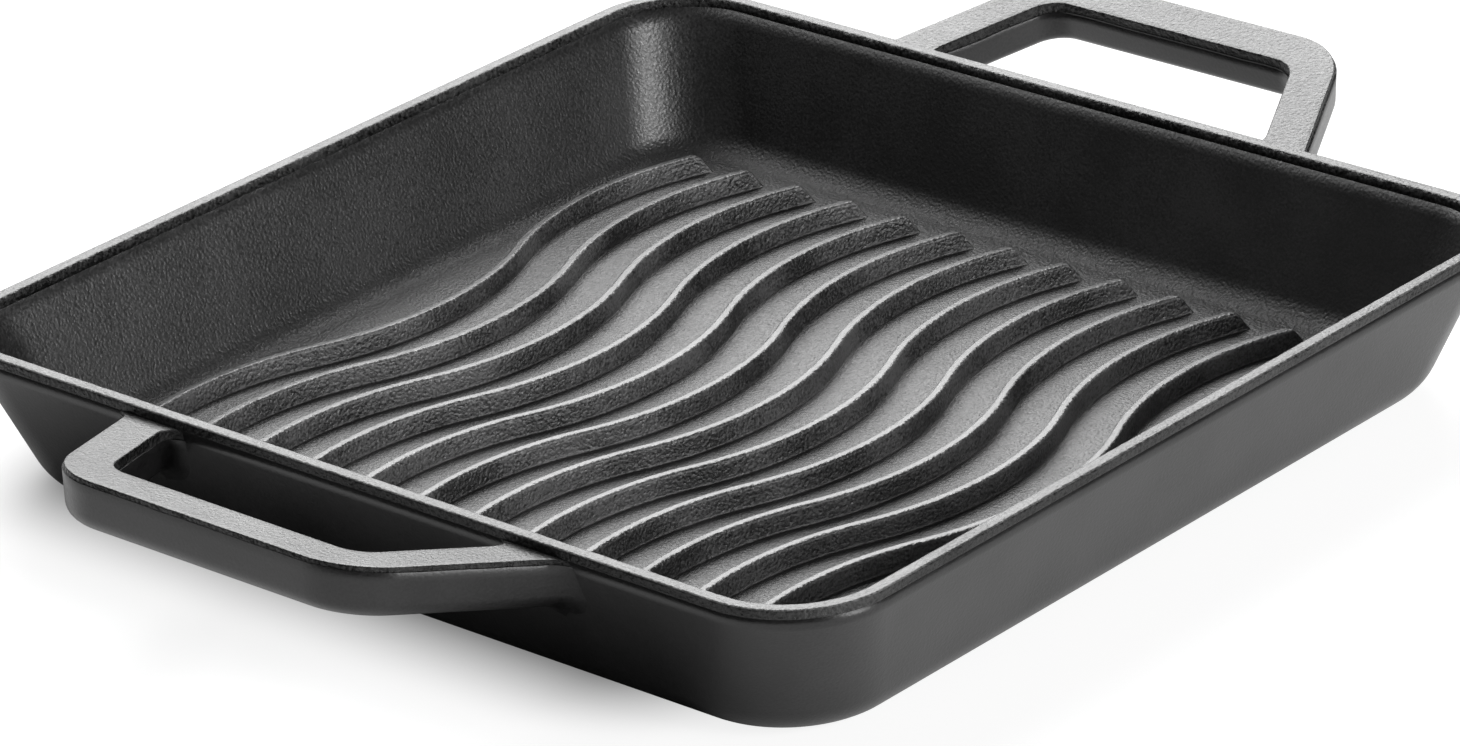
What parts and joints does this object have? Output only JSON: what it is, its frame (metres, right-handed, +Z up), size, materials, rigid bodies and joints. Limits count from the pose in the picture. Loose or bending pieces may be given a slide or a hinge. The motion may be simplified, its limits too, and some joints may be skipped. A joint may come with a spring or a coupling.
{
  "type": "grill pan",
  "caption": "Square cast-iron grill pan with a flared wall, wavy griddle ribs and an upswept loop handle at each end.",
  "frame": {"origin": "on the ground, under the middle of the dish", "axes": "+X from the left handle to the right handle, +Y across the ribs, +Z up"},
  "size_m": [0.375, 0.28, 0.0485],
  "materials": {
    "seasoned_iron": "satin"
  },
  "bodies": {
    "root": {"pan_body": "seasoned_iron", "rim": "seasoned_iron", "left_handle": "seasoned_iron", "right_handle": "seasoned_iron", "rib_01": "seasoned_iron", "rib_02": "seasoned_iron", "rib_03": "seasoned_iron", "rib_04": "seasoned_iron", "rib_05": "seasoned_iron", "rib_06": "seasoned_iron", "rib_07": "seasoned_iron", "rib_08": "seasoned_iron", "rib_09": "seasoned_iron", "rib_10": "seasoned_iron", "rib_11": "seasoned_iron", "rib_12": "seasoned_iron", "rib_13": "seasoned_iron"}
  },
  "joints": []
}
